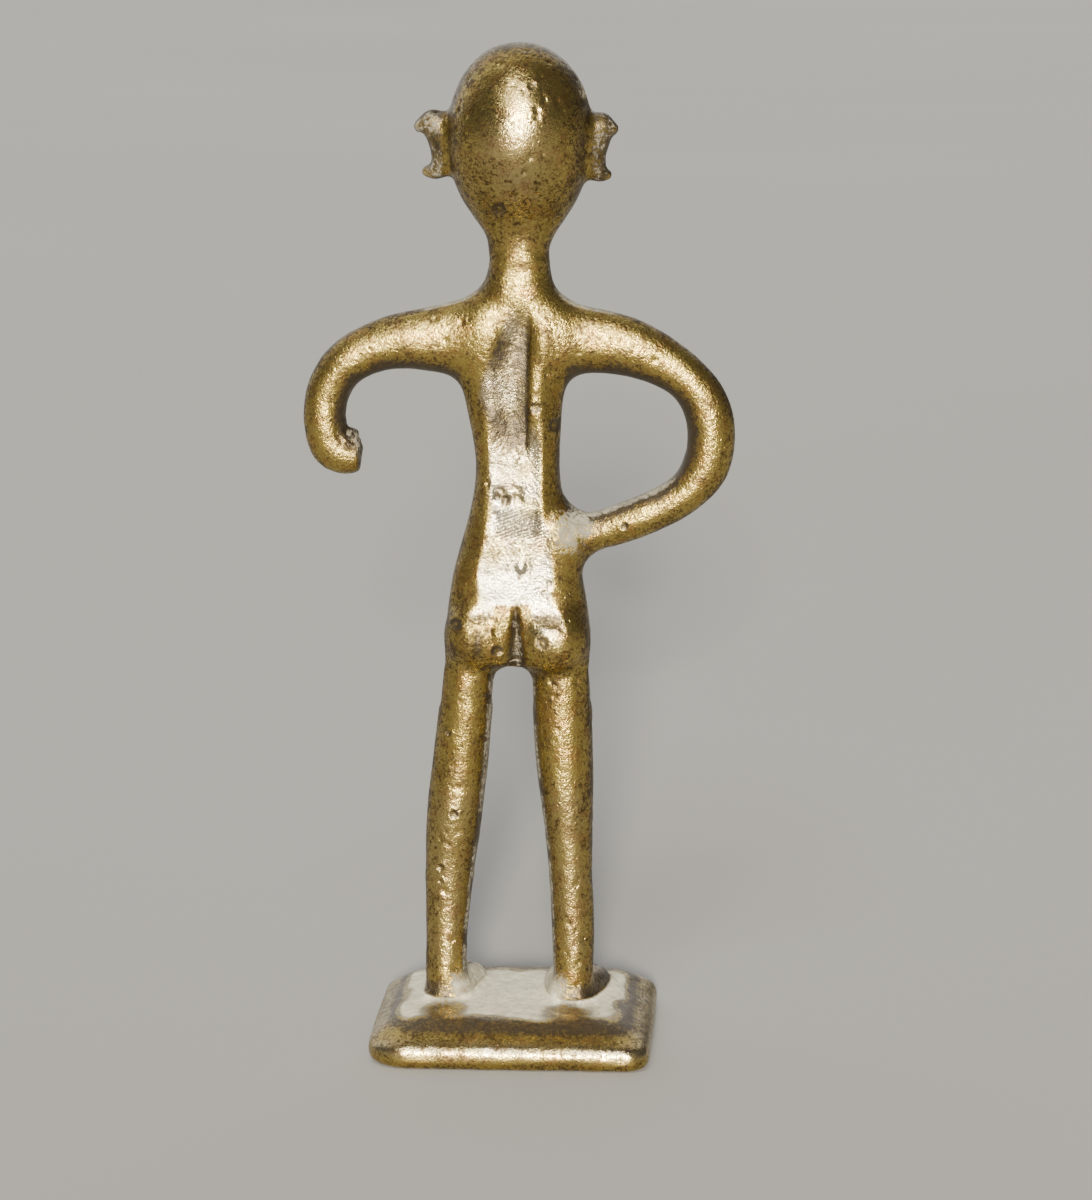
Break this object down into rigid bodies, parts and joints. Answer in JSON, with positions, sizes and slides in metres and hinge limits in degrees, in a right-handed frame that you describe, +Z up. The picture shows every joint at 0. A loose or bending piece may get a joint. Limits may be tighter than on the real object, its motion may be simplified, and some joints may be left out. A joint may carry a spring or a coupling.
{
  "type": "figurine",
  "caption": "Cast bronze statuette of a bare standing figure on a square plinth, one hand on the hip, the other arm a hook with a blunt stump, under an egg-shaped head with flared ears.",
  "frame": {"origin": "centre of the plinth's underside", "axes": "+Z up, the figure faces -Y, +X is the figure's own left (the side of the hooked arm)"},
  "size_m": [0.0381, 0.0236, 0.09],
  "materials": {
    "figure_bronze": "hand-worn golden bronze over brown patina, with grey residue in the recesses",
    "plinth_bronze": "golden bronze rubbed bright along the bevel, with grey residue round the feet"
  },
  "bodies": {
    "root": {"plinth": "plinth_bronze", "trunk": "figure_bronze", "head": "figure_bronze", "left_ear": "figure_bronze", "right_ear": "figure_bronze", "nose": "figure_bronze", "left_eye": "figure_bronze", "right_eye": "figure_bronze", "lips": "figure_bronze", "left_arm": "figure_bronze", "right_arm": "figure_bronze", "right_hand": "figure_bronze", "left_buttock": "figure_bronze", "right_buttock": "figure_bronze", "left_leg": "figure_bronze", "right_leg": "figure_bronze", "left_foot": "figure_bronze", "right_foot": "figure_bronze"}
  },
  "joints": []
}
